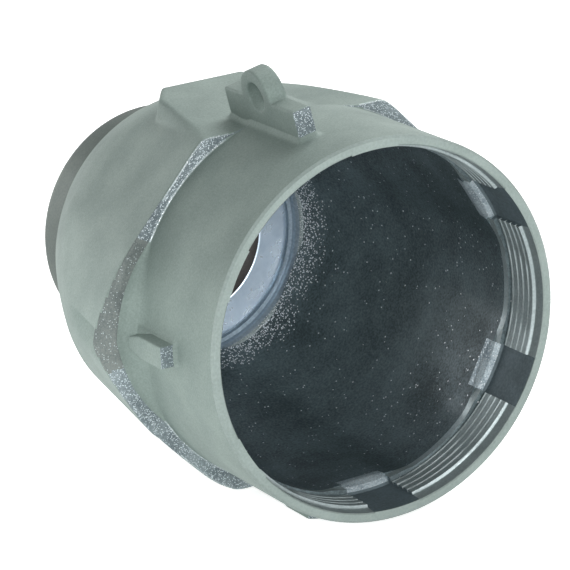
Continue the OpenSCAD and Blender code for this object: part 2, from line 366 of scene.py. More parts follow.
        # The chosen cells are painted the glint colour: painted glints.
        bright = add_node(
            tree, "Mix", {0: mask.outputs[0], 6: paint, 7: linear(self.glint_colour)}, data_type="RGBA"
        )
        shine = add_node(tree, "Math", {0: mask.outputs[0], 1: -self.polish}, operation="MULTIPLY")
        smoother = add_node(tree, "Math", {0: gloss, 1: shine.outputs[0]}, operation="ADD", use_clamp=True)
        return bright.outputs[2], smoother.outputs[0]

    def _marks(self, tree: Tree, place: Socket, height: Socket) -> Socket:
        """Adds fine tool marks: noise along the depth in a bore, and along the radius on a face.

        Args:
            tree: the material's node tree.
            place: the Object coordinates.
            height: the grain's height.

        Returns:
            The height of the marks and the grain.
        """
        parts = add_node(tree, "SeparateXYZ", {0: place})
        if self.lay is Lay.ROUND_BORE:
            along = parts.outputs["Y"]
        else:
            x2 = add_node(tree, "Math", {0: parts.outputs["X"], 1: 2.0}, operation="POWER")
            z2 = add_node(tree, "Math", {0: parts.outputs["Z"], 1: 2.0}, operation="POWER")
            r2 = add_node(tree, "Math", {0: x2.outputs[0], 1: z2.outputs[0]}, operation="ADD")
            along = add_node(tree, "Math", {0: r2.outputs[0]}, operation="SQRT").outputs[0]
        pattern = {"W": along, "Scale": 1 / (self.mark_mm * MM), "Detail": 2.0}
        marks = add_node(tree, "TexNoise", pattern, noise_dimensions="1D")
        share = self.grain_depth_mm / max(self.grain_depth_mm, self.mark_depth_mm)
        fine = add_node(tree, "Math", {0: height, 1: share}, operation="MULTIPLY")
        both = {0: marks.outputs["Fac"], 1: fine.outputs[0]}
        return add_node(tree, "Math", both, operation="ADD").outputs[0]


class Look(Enum):
    """The fitting's finishes."""

    # Die-cast aluminium, bead blasted: a matt grey-green skin with a fine even grain.
    CAST = Finish("die_cast_aluminium_blasted", "#879690", "#778681", 0.3, 0.6, 0.7, 0.4, 0.03)
    # The same casting on its front-facing step, painted darker as shade and crowded with painted
    # glints.
    CAST_STEP = Finish(
        "die_cast_aluminium_step_painted_shade", "#828f92", "#626e73", 0.35, 0.5, 0.7, 0.35, 0.06, 5.0,
        glint=0.42, glint_mm=0.27, glint_colour="#cbd7dc",
    )
    # Painted highlight on edges and crease lines: a pale colour with painted glints, drawn coarse
    # enough to show.
    CAST_EDGE = Finish(
        "die_cast_aluminium_edge_painted_highlight", "#a9b6b8", "#7c8989", 0.4, 0.4, 0.6, 0.35, 0.05, 4.0,
        glint=0.5, glint_mm=0.3, glint_colour="#eef4f8",
    )
    # The fronts of the side ribs, painted darker and browner as shade, with small painted
    # glints.
    CAST_FOOT = Finish(
        "die_cast_aluminium_rib_front_painted_shade", "#757d7a", "#5c6564", 0.3, 0.6, 0.7, 0.35, 0.06, 4.0,
        glint=0.1, glint_mm=0.27, glint_colour="#aab5b8",
    )
    # Cast wall inside the cavity, painted darker as shade, with painted glints crowding towards the throat.
    CAVITY = Finish(
        "die_cast_aluminium_cavity_painted_shade", "#5f6f73", "#394649", 0.25, 0.42, 0.55, 0.5, 0.06, 13.0,
        glint=0.95, glint_mm=0.42, glint_colour="#f2faff", crowd_y_mm=(75.5, 82.2),
    )
    # Slot ramps of the casting, painted paler as a highlight and crowded with painted glints.
    RAMP = Finish(
        "die_cast_aluminium_slot_ramp_painted_highlight", "#bac8cd", "#84929a", 0.55, 0.42, 0.6, 0.4, 0.07, 5.0,
        glint=0.3, glint_mm=0.3, glint_colour="#e6eef2",
    )
    # Slot floors: smooth dark casting skin.
    SLOT = Finish("die_cast_aluminium_slot_floor", "#65747a", "#556266", 0.3, 0.5, 0.62, 0.6, 0.03, 6.0)
    # Faced aluminium on the rim, pale and satin with fine round tool marks.
    RIM = Finish(
        "aluminium_faced_rim", "#8f9c98", "#828f8b", 0.4, 0.45, 0.55, 0.6, 0.004, 12.0,
        lay=Lay.ROUND_FACE, mark_mm=0.25, mark_depth_mm=0.008,
    )
    # Aluminium with a cut thread, bright, with marks of the tool round the bore.
    THREAD = Finish(
        "aluminium_cut_thread", "#a6b2b3", "#8c9899", 0.5, 0.36, 0.46, 0.5, 0.01, 6.0,
        lay=Lay.ROUND_BORE, mark_mm=0.2, mark_depth_mm=0.012,
    )
    # Smooth counterbore in front of the throat ring, dark blue-grey.
    COUNTERBORE = Finish(
        "aluminium_counterbore", "#a9bac6", "#8b9ba7", 0.5, 0.3, 0.4, 0.6, 0.006, 8.0,
        lay=Lay.ROUND_BORE, mark_mm=0.3, mark_depth_mm=0.008,
    )
    # Throat ring of turned aluminium with fine rings on its face; its pale cool colour is partly
    # bright metal and partly a painted reflection of the front lamps.
    THROAT_RING = Finish(
        "aluminium_turned_ring_painted_reflection", "#dbeaf9", "#bccfe2", 0.7, 0.26, 0.32, 3.0, 0.0, 10.0,
        lay=Lay.ROUND_FACE, mark_mm=0.6, mark_depth_mm=0.001,
    )
    # The ring's bore and what shows through it, painted brown-black as shade.
    GREASED = Finish("aluminium_bore_painted_shade", "#3a3533", "#2b2826", 0.2, 0.55, 0.65, 0.6, 0.01, 6.0)
    # Gland nut of aluminium bar, turned and lightly blasted: darker and smoother than the casting.
    NUT = Finish("aluminium_bar_nut", "#5b6661", "#505b57", 0.4, 0.5, 0.58, 0.5, 0.012, 16.0)
    # Zinc-plated steel, satin and faintly blue.
    ZINC = Finish("zinc_plated_steel", "#b4b9bd", "#989ea3", 0.95, 0.32, 0.42, 0.7, 0.004, 7.0)
    # Nitrile rubber, matt black with a fine moulded skin.
    RUBBER = Finish("nitrile_rubber", "#242322", "#1a1918", 0.0, 0.62, 0.72, 0.4, 0.01, 8.0)

    def material(self) -> bpy.types.Material:
        """The finish's material, made once."""
        return bpy.data.materials.get(self.value.name) or self.value.build()


Paint = Callable[[float, float, float, Vector], Look]


# ---------------------------------------------------------------- shaping


def polar(co: Vector) -> tuple[float, float, float]:
    """Radius, clock angle in degrees and depth of a point in millimetres."""
    return math.hypot(co.x, co.z), math.degrees(math.atan2(co.x, co.z)), co.y


def from_polar(radius: float, clock: float, depth: float) -> Vector:
    """The point at a radius, a clock angle in degrees and a depth."""
    angle = math.radians(clock)
    return Vector((radius * math.sin(angle), depth, radius * math.cos(angle)))


def ring_of_edges(mesh: bmesh.types.BMesh, points: list[bmesh.types.BMVert]) -> list[bmesh.types.BMEdge]:
    """Joins points in order, and the last to the first."""
    return [mesh.edges.new(pair) for pair in zip(points, points[1:] + points[:1])]


def turn(profile: Profile, count: int) -> bmesh.types.BMesh:
    """Spins a closed profile a full turn about the axis.

    Args:
        profile: its (radius, depth) points in order; the last joins the first.
        count: steps of the turn.

    Returns:
        The spun mesh, a closed skin.
    """
    mesh = bmesh.new()
    points = [mesh.verts.new((0.0, y, r)) for r, y in profile]
    edges = ring_of_edges(mesh, points)
    bmesh.ops.spin(
        mesh, geom=points + edges, cent=(0, 0, 0), axis=(0, 1, 0), angle=TURN, steps=count, use_merge=True
    )
    bmesh.ops.remove_doubles(mesh, verts=mesh.verts, dist=0.0005)
    return mesh


def reshape(mesh: bmesh.types.BMesh, skin: Radius, behind: Radius | None = None) -> None:
    """Gives a turned mesh's stand-in rings their real radii.

    Args:
        mesh: the mesh that is shaped.
        skin: gives the radius at a (clock, depth) of the rings turned at SHAPED_R.
        behind: the same for the rings turned at BEHIND_R.
    """
    fields = {SHAPED_R: skin, BEHIND_R: behind}
    for vert in mesh.verts:
        r, clock, depth = polar(vert.co)
        field = fields.get(round(r, 2))
        if field:
            vert.co = from_polar(field(clock, depth), clock, depth)


def finish_piece(
    name: str,
    mesh: bmesh.types.BMesh,
    looks: Sequence[Look],
    body: str,
    stands_for: Sequence[str] = (),
    paint: Paint | None = None,
    sharp_deg: float = 35.0,
) -> bpy.types.Object:
    """Turns a bmesh in millimetres into a piece that rides on a body.

    Args:
        name: the piece's name.
        mesh: its shape.
        looks: its finishes.
        body: the body that it rides on.
        stands_for: the CAD nodes that it replaces.
        paint: picks a face's finish from its centre's (radius, clock, depth) and its normal.
        sharp_deg: edges that turn by more than this are drawn sharp.

    Returns:
        The piece.
    """
    # Reshaped faces still have the normals that they were turned with, and the next call reads those.
    mesh.normal_update()
    bmesh.ops.recalc_face_normals(mesh, faces=mesh.faces)
    limit = math.radians(sharp_deg)
    for edge in mesh.edges:
        edge.smooth = edge.calc_face_angle(0.0) < limit
    for face in mesh.faces:
        face.smooth = True
        if paint:
            face.material_index = looks.index(paint(*polar(face.calc_center_median()), face.normal))
    bmesh.ops.scale(mesh, vec=(MM, MM, MM), verts=mesh.verts)
    data = bpy.data.meshes.new(name)
    mesh.to_mesh(data)
    mesh.free()
    for look in looks:
        data.materials.append(look.material())
    piece = bpy.data.objects.new(name, data)
    bpy.context.scene.collection.objects.link(piece)
    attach(piece, body)
    if stands_for:
        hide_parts(*stands_for)
    LOG.info("%s: %d faces on %s", name, len(data.polygons), body)
    return piece


def soften(mesh: bmesh.types.BMesh, voxel: float, passes: int) -> bmesh.types.BMesh:
    """Melts overlapping solids into one cast lump with rounded edges.

    Args:
        mesh: closed solids that overlap, in millimetres.
        voxel: size of the remesh, in millimetres.
        passes: rounds of smoothing after it.

    Returns:
        The lump; the mesh given is freed.
    """
    data = bpy.data.meshes.new("rough_lump")
    mesh.to_mesh(data)
    mesh.free()
    lump = bpy.data.objects.new("rough_lump", data)
    bpy.context.scene.collection.objects.link(lump)
    remesh = lump.modifiers.new("melt", "REMESH")
    remesh.mode = "VOXEL"
    remesh.voxel_size = voxel
    smooth = lump.modifiers.new("round", "SMOOTH")
    smooth.factor = 0.5
    smooth.iterations = passes
    soft = bmesh.new()
    soft.from_object(lump, bpy.context.evaluated_depsgraph_get())
    bpy.data.objects.remove(lump)
    bpy.data.meshes.remove(data)
    return soft


def extrude(mesh: bmesh.types.BMesh, face: bmesh.types.BMFace, way: Sequence[float]) -> None:
    """Draws a face out into a solid.

    Args:
        mesh: the mesh that the face is in.
        face: the face.
        way: how far and which way it goes.
    """
    wall = bmesh.ops.extrude_face_region(mesh, geom=[face])
    moved = [item for item in wall["geom"] if isinstance(item, bmesh.types.BMVert)]
    bmesh.ops.translate(mesh, vec=way, verts=moved)
    bmesh.ops.recalc_face_normals(mesh, faces=mesh.faces)


def prism(outline: Sequence[tuple[float, float]], thickness: float) -> bmesh.types.BMesh:
    """Extrudes a plate along X.

    Args:
        outline: its (depth, height) corners in order.
        thickness: its thickness, half of it on each side of the middle.

    Returns:
        The plate.
    """
    mesh = bmesh.new()
    face = mesh.faces.new([mesh.verts.new((-thickness / 2, y, z)) for y, z in outline])
    extrude(mesh, face, (thickness, 0, 0))
    return mesh


def merge_into(mesh: bmesh.types.BMesh, other: bmesh.types.BMesh) -> None:
    """Adds another mesh's geometry to a mesh.

    Args:
        mesh: the mesh that grows.
        other: the mesh that is added, and then freed.
    """
    data = bpy.data.meshes.new("passing")
    other.to_mesh(data)
    other.free()
    mesh.from_mesh(data)
    bpy.data.meshes.remove(data)


# ---------------------------------------------------------------- the casting


@dataclass
class Lug:
    """What the casting's lugs share: a straight foot that runs along the barrel.

    Attributes:
        clock: the clock angle that the lug stands at.
        breadth: its size across.
        front_y: depth of its front.
        back_y: depth of its back.
    """

    clock: float
    breadth: float
    front_y: float
    back_y: float

    def footprint(self, clock: float, y: float, radius: float) -> float:
        """Measures along the barrel's skin.

        Args:
            clock: a point's clock angle.
            y: its depth.
            radius: its radius.

        Returns:
            The distance from the point to the lug's foot.
        """
        across = abs(math.radians(clock_offset(clock, self.clock))) * radius - self.breadth / 2
        along = max(self.front_y - y, y - self.back_y)
        return math.hypot(max(across, 0.0), max(along, 0.0))

    def dress(
        self, name: str, upright: bmesh.types.BMesh, passes: int, painted_shade_front: Callable[[float, Vector], bool]
    ) -> bpy.types.Object:
        """Melts upright solids into a cast lump, stands it at its clock angle and finishes it.

        Args:
            name: the piece's name.
            upright: the solids, at twelve o'clock.
            passes: rounds of smoothing.
            painted_shade_front: tells from a face's depth and normal whether it gets painted shade and
                glints.

        Returns:
            The piece.
        """
        lump = soften(upright, 0.3, passes)
        stand = Matrix.Rotation(math.radians(self.clock), 3, "Y")
        bmesh.ops.rotate(lump, cent=(0, 0, 0), matrix=stand, verts=lump.verts)

        def paint(radius: float, clock: float, depth: float, normal: Vector) -> Look:
            """Front walls get painted shade and painted glints; the rest is the blasted skin."""
            return Look.CAST_STEP if painted_shade_front(depth, normal) else Look.CAST

        looks = (Look.CAST, Look.CAST_STEP)
        return finish_piece(name, lump, looks, "housing", paint=paint, sharp_deg=60)


@dataclass
class HangLug(Lug):
    """The lug with an eye on top of the barrel, a plate that runs along the axis.

    Attributes:
        eye_y: depth of the eye's middle.
        eye_dist: its distance from the axis.
        eye_r: the eye's outside radius.
        hole_r: radius of its hole.
        seat_r: radius of the web's round seat for the eye.
        top_dist: distance of the web's top from the axis.
        root_dist: distance of its foot, inside the barrel's wall.
        back_sink: how much deeper the foot goes at the back, where the barrel leans in.
        corner: length and height of the bevel on the web's front corner.
    """

    clock: float = -11.5
    breadth: float = 4.5
    front_y: float = 12.6
    back_y: float = 42.0
    eye_y: float = 28.0
    eye_dist: float = 49.8
    eye_r: float = 6.0
    hole_r: float = 3.2
    seat_r: float = 4.6
    top_dist: float = 49.4
    root_dist: float = 40.6
    back_sink: float = 3.0
    corner: tuple[float, float] = (0.6, 0.4)

    def web(self) -> bmesh.types.BMesh:
        """Makes the plate under the eye, with a round seat in its top.

        Returns:
            The plate, at twelve o'clock.
        """
        length, height = self.corner
        outline = [(self.front_y, self.root_dist), (self.front_y, self.top_dist - height)]
        outline += [(self.front_y + length, self.top_dist)]
        for i in range(17):
            a = math.radians(185 + 170 * i / 16)
            along, up = self.seat_r * math.cos(a), self.seat_r * math.sin(a)
            outline.append((self.eye_y + along, self.eye_dist + up))
        outline += [(self.back_y, self.top_dist), (self.back_y, self.root_dist - self.back_sink)]
        return prism(outline, self.breadth)

    def eye(self) -> bmesh.types.BMesh:
        """Makes the eye, a plain ring that stands along the axis.

        Returns:
            The ring, at twelve o'clock.
        """
        ring = bmesh.new()
        half = self.breadth / 2
        corners = [(self.hole_r, -half), (self.eye_r, -half), (self.eye_r, half), (self.hole_r, half)]
        points = [ring.verts.new((x, 0.0, r)) for r, x in corners]
        section = points + ring_of_edges(ring, points)
        bmesh.ops.spin(
            ring, geom=section, cent=(0, 0, 0), axis=(1, 0, 0), angle=TURN, steps=64, use_merge=True
        )
        bmesh.ops.recalc_face_normals(ring, faces=ring.faces)
        bmesh.ops.translate(ring, vec=(0, self.eye_y, self.eye_dist), verts=ring.verts)
        return ring

    def build(self) -> bpy.types.Object:
        """Makes the lug as one cast lump, its web's front painted with shade and glints.

        Returns:
            The piece.
        """
        lump = self.web()
        merge_into(lump, self.eye())
        outward = from_polar(1.0, self.clock, 0.0)

        def painted_shade_front(depth: float, normal: Vector) -> bool:
            """Whether a face is in the web's front wall."""
            return normal.y < -0.45 and normal.dot(outward) < 0.8 and depth < self.front_y + 1.0

        return self.dress("hang_lug", lump, 6, painted_shade_front)


@dataclass
class IndexLug(Lug):
    """A small block on the barrel, square in front and blunt at the shoulder.

    Attributes:
        name: the piece's name.
        taper_y: depth where its sides start to close in.
        top_dist: distance of its top from the axis.
        root_dist: distance of its foot, inside the barrel's wall.
    """

    clock: float = -90.0
    breadth: float = 5.0
    front_y: float = 15.6
    back_y: float = 30.0
    name: str = "index_lug"
    taper_y: float = 25.0
    top_dist: float = 46.3
    root_dist: float = 40.8

    def build(self) -> bpy.types.Object:
        """Makes the block as a cast lump, its front painted with shade and glints.

        Returns:
            The piece.
        """
        mesh = bmesh.new()
        half = self.breadth / 2
        outline = [
            (-half, self.front_y), (half, self.front_y), (half, self.taper_y),
            (half / 2, self.back_y), (-half / 2, self.back_y), (-half, self.taper_y),
        ]
        face = mesh.faces.new([mesh.verts.new((x, y, self.root_dist)) for x, y in outline])
        extrude(mesh, face, (0, 0, self.top_dist - self.root_dist))
        return self.dress(self.name, mesh, 5, lambda depth, normal: normal.y < -0.5)


@dataclass(frozen=True)
class Face:
    """One leaning face of the shell, flat across at the shoulder and a little crowned behind it.

    Attributes:
        clock: the clock angle that it faces.
        dist: its distance from the axis at the shoulder.
        lean: how much nearer it comes for each millimetre of depth.
        crown: how fast its sides fall away behind the shoulder.
        least_cos: keeps a face that is seen edge on from running off.
        most_crown: the same for its crown.
    """

    clock: float
    dist: float
    lean: float
    crown: float = 0.0
    least_cos: float = 0.35
    most_crown: float = 0.3

    def radius(self, clock: float, run: float) -> float:
        """Works out where the face stands.

        Args:
            clock: a clock angle.
            run: how far behind the shoulder.

        Returns:
            The face's radius there.
        """
        off = math.radians(clock_offset(clock, self.clock))
        flat = (self.dist - self.lean * run) / max(math.cos(off), self.least_cos)
        return flat - self.crown * run * min(off * off, self.most_crown)


def both_sides(*faces: Face) -> tuple[Face, ...]:
    """The faces and their mirror images across the height."""
    return faces + tuple(replace(face, clock=-face.clock) for face in faces)


@dataclass(frozen=True)
class Recess:
    """The wedge-shaped recess under a side rib's crest, steep above and running out below and behind.

    Attributes:
        clock: clock angle of its steep wall, on either side.
        deep: how deep it is.
        wall: width of the steep wall.
        reach: how far it goes down from that wall.
        fade: over how much of that it runs out.
        front_y: depth at which it starts.
        lead: how soon it is at its deepest.
        end_y: depth at which it ends.
        run_out: over how much of its length it runs out.
    """

    clock: float = 86.3
    deep: float = 4.0
    wall: float = 1.0
    reach: float = 9.0
    fade: float = 8.0
    front_y: float = 35.6
    lead: float = 2.4
    end_y: float = 58.0
    run_out: float = 18.0

    def at(self, clock: float, y: float, rib_r: float) -> float:
        """Works out how deep the recess is.

        Args:
            clock: a clock angle.
            y: a depth.
            rib_r: radius of the rib's crest.

        Returns:
            How far the skin goes in there.
        """
        below = math.radians(abs(clock) - self.clock) * rib_r
        across = ease(below / self.wall) * ease((self.reach - below) / self.fade)
        along = ease((y - self.front_y) / self.lead) * ease((self.end_y - y) / self.run_out)
        return self.deep * across * along


@dataclass
class CastShell:
    """The outside of the casting: barrel, many-sided shoulder with side ribs, pad and back rim.

    Attributes:
        hang_lug: the lug on top.
        index_lugs: the two blocks on the barrel.
        columns: steps of the turn.
        front_y: depth where the cast skin starts, behind the faced rim.
        shoulder_y: depth of the shoulder.
        length: depth of the casting's back.
        corners: the wall line along the shell's corners.
        ribs: the wall line along the side ribs.
        rib_front: radius of a rib's bevelled front at the shoulder, and how fast it climbs.
        rib_half: half a rib's height, where it has half run out.
        rib_fade: over how much height it runs out.
        top_flat: the face under the pad.
        sides: the other faces.
        blend: rounding where the faces meet.
        step_line: height of the fillet that climbs the shoulder, by clock angle.
        barrel_lean: how fast the hidden barrel under the shell closes in.
        recess: the recess under each rib.
        pad_rise: how much further from the axis the pad's back stands than the top flat at the shoulder.
        pad_foot: distance of the pad's left foot from the middle, by depth.
        pad_side: width of its left slope.
        pad_right: distance of its right edge from the middle.
        pad_slope: width of its right slope.
        pad_end_y: depth of its back.
        back_round: rounding of the back edge.
        back_hole_r: radius of the hole in the back.
        lug_fillet: fillet round the lugs.
        foot_fillet: fillet before the shoulder where no rib is.
        edge_round: rounding of the shoulder's edge.
        low_rise: where the shoulder is lower than this, shell and barrel blend.
        low_blend: how softly they do.
        seam: half the depth of the ring of faces that the shoulder's wall is.
        wall: thickness of the wall.
        rib_shade_front: clock angles between which the shoulder's front gets the rib fronts' painted shade.
    """

    hang_lug: HangLug
    index_lugs: tuple[IndexLug, IndexLug]
    columns: int = 450
    front_y: float = LIP_Y
    shoulder_y: float = 33.0
    length: float = 89.0
    corners: Bulge = Bulge(46.1, 33.0, 35.6, 85.0, 144.0)
    ribs: Bulge = Bulge(52.1, 36.0, 35.6, 85.0, 250.0)
    rib_front: tuple[float, float] = (46.8, 1.8)
    rib_half: float = 23.0
    rib_fade: float = 4.0
    top_flat: Face = Face(0.0, 40.2, 0.026)
    sides: tuple[Face, ...] = (Face(180.0, 41.2, 0.026),) + both_sides(
        Face(47.0, 44.5, 0.123, 0.27), Face(60.0, 47.1, 0.155), Face(68.5, 49.2, 0.2),
        Face(133.0, 45.4, 0.13, 0.2), Face(120.0, 47.1, 0.155), Face(111.5, 49.2, 0.2),
    )
    blend: float = 0.9
    step_line: Profile = (
        (56.0, 0.0), (62.0, 0.7), (65.0, 1.4), (70.0, 2.5), (76.0, 3.7), (82.0, 4.5), (90.0, 5.5),
    )
    barrel_lean: float = 1 / 3
    recess: Recess = Recess()
    pad_rise: float = 3.3
    pad_foot: Profile = ((33.0, 24.4), (39.0, 23.0), (47.0, 22.0), (60.0, 20.0), (67.0, 15.6))
    pad_side: float = 3.4
    pad_right: float = 5.0
    pad_slope: float = 5.0
    pad_end_y: float = 67.0
    back_round: float = 2.2
    back_hole_r: float = 26.04
    lug_fillet: float = 1.2
    foot_fillet: float = 0.5
    edge_round: float = 0.55
    low_rise: float = 0.6
    low_blend: float = 0.8
    seam: float = 0.02
    wall: float = 1.0
    rib_shade_front: tuple[float, float] = (62.0, 98.0)

    def rim(self, y: float) -> float:
        """Rounds off the back edge.

        Args:
            y: a depth.

        Returns:
            How far the skin goes in there.
        """
        past = y - (self.length - self.back_round)
        if past <= 0:
            return 0.0
        return self.back_round - math.sqrt(max(self.back_round**2 - past**2, 0.0))

    def shell(self, clock: float, y: float) -> float:
        """Works out the many-sided shell without its pad.

        Args:
            clock: a clock angle.
            y: a depth, from the shoulder back.

        Returns:
            The shell's radius there.
        """
        run = y - self.shoulder_y
        height = self.corners.front_r * abs(math.cos(math.radians(clock)))
        corner = self.corners.at(y)
        rib = min(self.ribs.at(y), self.rib_front[0] + self.rib_front[1] * run)
        radius = corner + (rib - corner) * ease((self.rib_half + self.rib_fade / 2 - height) / self.rib_fade)
        for face in (self.top_flat, *self.sides):
            radius = soft_min(radius, face.radius(clock, run), self.blend)
        return radius

    def pad(self, clock: float, y: float, under: float) -> float:
        """Works out the raised pad.

        Args:
            clock: a clock angle.
            y: a depth.
            under: radius of the shell there.

        Returns:
            How far the pad stands over the shell.
        """
        if abs(clock) > 45 or y > self.pad_end_y + 1:
            return 0.0
        across = under * math.sin(math.radians(clock))
        share = (y - self.shoulder_y) / (self.pad_end_y - self.shoulder_y)
        top = (self.top_flat.dist + self.pad_rise * share) / math.cos(math.radians(clock))
        window = ease((across + between(self.pad_foot, y)) / self.pad_side)
        window *= ease((self.pad_right + self.pad_slope - across) / self.pad_slope)
        window *= ease((self.pad_end_y + 0.7 - y) / 1.4)
        return max(top - under, 0.0) * window

    def foot(self, clock: float) -> float:
        """How far the fillet in front of the shoulder climbs the side ribs at a clock angle."""
        return between(self.step_line, 90.0 - abs(90.0 - abs(clock)))

    def outside(self, clock: float, y: float) -> float:
        """Works out the casting's outside.

        Args:
            clock: a clock angle.
            y: a depth.

        Returns:
            The skin's radius there.
        """
        run = y - self.shoulder_y
        at = max(y, self.shoulder_y)
        shell = self.shell(clock, at)
        shell += self.pad(clock, at, shell)
        rise = max(shell - BARREL_R, 0.0)
        if run < 0:
            climb = max(self.foot(clock), min(self.foot_fillet, rise * 0.4), self.seam)
            radius = BARREL_R + fillet(-run, climb)
        else:
            barrel = BARREL_R - self.barrel_lean * run
            radius = soft_max(barrel, shell, self.low_blend) if rise < self.low_rise else max(barrel, shell)
            radius -= fillet(run, max(min(self.edge_round, rise * 0.5), self.seam))
        radius -= self.rim(y) + self.recess.at(clock, y, self.ribs.front_r)
        near = min(lug.footprint(clock, y, radius) for lug in (self.hang_lug, *self.index_lugs))
        return radius + fillet(near, self.lug_fillet)

    def behind(self, clock: float, y: float) -> float:
        """Radius of the hidden wall behind the skin."""
        return min(self.outside(clock, y), BARREL_R) - self.wall

    def depths(self) -> list[float]:
        """Spaces the rings, close together at the shoulder and the back edge.

        Returns:
            Their depths, from the front.
        """
        s, e = self.shoulder_y, self.length - self.back_round
        close = [s - v for v in (1.2, 0.9, 0.65, 0.45, 0.3, 0.2, self.seam)]
        close += [s + v for v in (self.seam, 0.1, 0.22, 0.4, 0.6, 0.9)]
        front = [self.front_y] + steps(1.2, s - 5.5, 0.55) + steps(s - 5.5, s - 1.2, 0.45)
        back = steps(s + 1.3, e, 0.52)
        edge = [e + self.back_round * math.sin(math.radians(a)) for a in range(0, 91, 15)]
        return front + close + back + edge

    def paint(self, r: float, clock: float, y: float, normal: Vector) -> Look:
        """Picks the skin's finish: blasted skin, painted shade on the step and the rib fronts, or painted
        highlight on edges.

        Args:
            r: radius of a face's middle.
            clock: its clock angle.
            y: its depth.
            normal: the way it faces.

        Returns:
            The face's finish.
        """
        run = y - self.shoulder_y
        rib_shade = self.rib_shade_front[0] < abs(clock) < self.rib_shade_front[1]
        # The shoulder's seam: painted highlight where a rib's foot is tall, painted shade elsewhere.
        if abs(run) < self.seam:
            seam_look = Look.CAST_EDGE if self.foot(clock) > 4.4 else Look.CAST_FOOT
            return seam_look if rib_shade else Look.CAST_STEP
        # A thin painted highlight along the foot line in front of the shoulder.
        if -0.22 < run < 0 and abs(clock) > 24.0 and self.foot(clock) < 0.7:
            return Look.CAST_EDGE
        # The shoulder's front-facing band: painted shade.
        if 0 < run < 3.2 and 50.0 < abs(clock) < 130.0 and normal.y < -0.3:
            return Look.CAST_FOOT if rib_shade else Look.CAST_STEP
        # Painted highlight on the shoulder's rounded edge.
        if 0 < run < 0.25 and r > BARREL_R + 0.8:
            return Look.CAST_EDGE
        # Painted highlight on the back edge's round.
        if y > self.length - self.back_round * 0.55 and r > 31.0:
            return Look.CAST_EDGE
        return Look.CAST

    def build(self) -> bpy.types.Object:
        """Makes the outside skin and the wall behind it.

        Returns:
            The piece.
        """
        skin = [(SHAPED_R, y) for y in self.depths()]
        back = [(30.0, self.length), (self.back_hole_r, self.length)]
        back += [(self.back_hole_r, self.length - 1.2), (30.0, self.length - 2.0)]
        hidden = [(BEHIND_R, y) for y in (84.0, 76.0, 66.0, 56.0, 46.0, 38.0, 34.5, 27.0, 20.0, 10.0, 3.0)]
        front = [(BARREL_R - self.wall, self.front_y)]
        mesh = turn(skin + back + hidden + front, self.columns)
        reshape(mesh, self.outside, self.behind)
        looks = (Look.CAST, Look.CAST_STEP, Look.CAST_EDGE, Look.CAST_FOOT)
        return finish_piece(
            "casting_shell", mesh, looks, "housing", ("body_casting",), self.paint, 50
        )


@dataclass
class Cavity:
    """The cast cavity behind the mouth, softly six-sided, as a thin liner.

    Attributes:
        columns: steps of the turn.
        start_y: depth of its front edge.
        end_y: depth of its back edge.
        round_wall: the wall line between the flats.
        flat_step: how much nearer the axis the flats' middles are.
        blend: rounding between the flats and the round wall.
        wall: thickness of the liner.
    """

    columns: int = 288
    start_y: float = 17.2
    end_y: float = 82.4
    round_wall: Bulge = Bulge(39.1, 12.0, 28.4, 82.4, 120.0)
    flat_step: float = 1.5
    blend: float = 0.7
    wall: float = 0.5

    def inside(self, clock: float, y: float) -> float:
        """Works out the cavity's wall.

        Args:
            clock: a clock angle.
            y: a depth.

        Returns:
            The wall's radius there.
        """
        limit = self.round_wall.at(y)
        flat = (limit - self.flat_step) / math.cos(math.radians(from_sixth(clock)))
        return soft_min(limit, flat, self.blend)

    def behind(self, clock: float, y: float) -> float:
        """Radius of the liner's hidden side."""
        return self.inside(clock, y) + self.wall

    def build(self) -> bpy.types.Object:
        """Makes the liner.

        Returns:
            The piece.
        """
        inner = [(SHAPED_R, y) for y in steps(self.start_y, self.end_y, 1.0)] + [(SHAPED_R, self.end_y)]
        outer = [(BEHIND_R, y) for y in (82.0, 76.0, 66.0, 56.0, 46.0, 36.0, 26.0, self.start_y)]
        mesh = turn(inner + outer, self.columns)
        reshape(mesh, self.inside, self.behind)
        return finish_piece("casting_cavity", mesh, (Look.CAVITY,), "housing")


